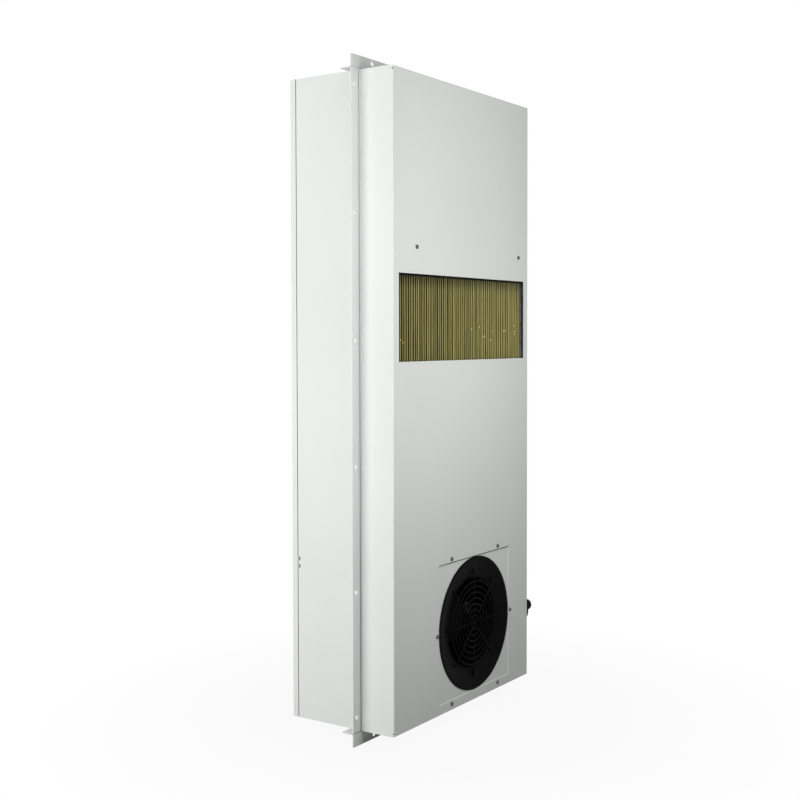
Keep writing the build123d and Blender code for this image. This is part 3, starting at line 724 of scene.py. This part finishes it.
def shade_foam_lips(front):
    """Black foam strips under the top edges of the front window and of the fan opening, standing for the
    shadow line there: painted shade.
    """
    casing_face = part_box("front_casing")[0].y
    seal_low, seal_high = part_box("front_window_seal")
    plate_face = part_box("front_fan_plate")[0].y
    work = bmesh.new()
    depth = seal_high.y - seal_low.y
    middle = Vector((0, seal_low.y + depth / 2, window_top - window_shade_lip / 2))
    add_block(work, Matrix.Translation(middle), (2 * window_half_width, depth, window_shade_lip))
    top = front.centre.z + fan_opening / 2
    middle = Vector((front.centre.x, (casing_face + plate_face) / 2, top - fan_shade_strip / 2))
    add_block(work, Matrix.Translation(middle), (fan_opening, plate_face - casing_face, fan_shade_strip))
    worked_piece("shade_foam_lips", work, finishes["foam"], smooth=False)


def opening_beads(front):
    """Paint gathered in the corner between the fan plate and the opening's sides and lower edge."""
    casing_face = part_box("front_casing")[0].y
    plate_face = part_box("front_fan_plate")[0].y
    half = fan_opening / 2
    out = Vector((0, casing_face - plate_face, 0))
    low_left = Vector((front.centre.x - half, plate_face, front.centre.z - half))
    low_right = low_left + Vector((fan_opening, 0, 0))
    right, up = Vector((fan_opening, 0, 0)), Vector((0, 0, fan_opening))
    vertices, faces = [], []
    add_wedge(vertices, faces, low_left, Vector((0, 0, paint_bead)), out, right)
    add_wedge(vertices, faces, low_left, Vector((paint_bead, 0, 0)), out, up)
    add_wedge(vertices, faces, low_right, Vector((-paint_bead, 0, 0)), out, up)
    outward(new_piece("opening_beads", vertices, faces, "paint", smooth=False))


core_plan = core_plates()
painted_glint_drops(*core_plan)
front_fan, rear_fan = FanSide("front"), FanSide("rear")
for fan_side in (front_fan, rear_fan):
    guard_wires(fan_side)
    guard_lugs(fan_side)
    pressure_tap(fan_side)
gland_ribs()
seam_tabs()
sealant()
shade_foam_lips(front_fan)
opening_beads(front_fan)


# Stage, light and camera

def stage_floor():
    """A floor that takes the shadow near the unit, and is white to the camera farther off."""
    reach, near, far, shadow_share = 30.0, 0.30, 0.80, 0.07
    mesh = bpy.data.meshes.new("floor")
    corners = [(x * reach, y * reach, 0.0) for x, y in ((-1, -1), (1, -1), (1, 1), (-1, 1))]
    mesh.from_pydata(corners, [], [(0, 1, 2, 3)])
    floor = bpy.data.objects.new("floor", mesh)
    floor.location.z = cad_low.z
    scene.collection.objects.link(floor)
    s = Surface("floor")
    s.plain(Base_Color=(0.32, 0.315, 0.305, 1), Roughness=0.9, Specular_IOR_Level=0.2)
    distance = s.add("ShaderNodeVectorMath", {0: s.place}, operation="LENGTH").outputs["Value"]
    white_share = s.spread(distance, 1.0 - shadow_share, 1.0, near, far)
    glow = s.add("ShaderNodeEmission")
    factor = s.times(seen_directly(s.tree), white_share)
    mixer = s.add("ShaderNodeMixShader", {0: factor, 1: s.shader.outputs[0], 2: glow.outputs[0]})
    s.put(s.tree.nodes["Material Output"].inputs["Surface"], mixer.outputs[0])
    mesh.materials.append(s.material)


def seen_directly(tree):
    """A factor that is 1 for what the camera sees, also in gloss or through glass."""
    path = tree.nodes.new("ShaderNodeLightPath")
    total = path.outputs["Is Camera Ray"]
    for name in ("Is Glossy Ray", "Is Transmission Ray"):
        larger = tree.nodes.new("ShaderNodeMath")
        larger.operation = "MAXIMUM"
        tree.links.new(total, larger.inputs[0])
        tree.links.new(path.outputs[name], larger.inputs[1])
        total = larger.outputs[0]
    return total


def stage_world(strength):
    """White to the camera, and a soft even light for everything else."""
    world = bpy.data.worlds.new("studio")
    scene.world = world
    world.use_nodes = True
    tree = world.node_tree
    fill = tree.nodes["Background"]
    fill.inputs["Color"].default_value = (0.97, 0.99, 1.0, 1)
    fill.inputs["Strength"].default_value = strength
    white = tree.nodes.new("ShaderNodeBackground")
    white.inputs["Color"].default_value = (1, 1, 1, 1)
    mixer = tree.nodes.new("ShaderNodeMixShader")
    tree.links.new(seen_directly(tree), mixer.inputs[0])
    tree.links.new(fill.outputs[0], mixer.inputs[1])
    tree.links.new(white.outputs[0], mixer.inputs[2])
    tree.links.new(mixer.outputs[0], tree.nodes["World Output"].inputs["Surface"])


def softbox(name, place, target, width, height, power):
    """A rectangular area lamp aimed at a point."""
    lamp = bpy.data.lights.new(name, "AREA")
    lamp.shape = "RECTANGLE"
    lamp.size = width
    lamp.size_y = height
    lamp.energy = power
    holder = bpy.data.objects.new(name, lamp)
    scene.collection.objects.link(holder)
    holder.location = place
    holder.rotation_euler = (Vector(target) - Vector(place)).to_track_quat("-Z", "Y").to_euler()
    holder.visible_camera = False


def stage_camera():
    """The camera at the photograph's place and angle."""
    data = bpy.data.cameras.new("camera")
    data.sensor_width = sensor_width
    data.lens = focal_pixels / image_side * sensor_width
    data.shift_x = 0.5 - principal_point[0] / image_side
    data.shift_y = principal_point[1] / image_side - 0.5
    camera = bpy.data.objects.new("camera", data)
    scene.collection.objects.link(camera)
    turn = Matrix.Rotation(-camera_yaw, 4, "Z") @ Matrix.Rotation(math.pi / 2 + camera_pitch, 4, "X")
    camera.matrix_world = Matrix.Translation(camera_place) @ turn @ Matrix.Rotation(camera_roll, 4, "Z")
    scene.camera = camera


stage_floor()
stage_world(world_fill)
softbox("side_light", (-1.73, 0.37, 0.20), (-0.25, 0.05, 0.20), 1.6, 1.6, 29.8)
softbox("front_light", (-0.16, -0.837, 0.20), (-0.10, -0.07, 0.30), 0.7, 0.7, 5.3)
softbox("top_light", (-0.80, -1.10, 1.90), (-0.10, -0.05, 0.55), 1.0, 1.0, 15.0)
softbox("back_light", (1.90, 1.90, 0.05), (0.20, 0.10, 0.10), 1.6, 1.6, 45.0)
stage_camera()
scene.view_settings.view_transform = "Standard"
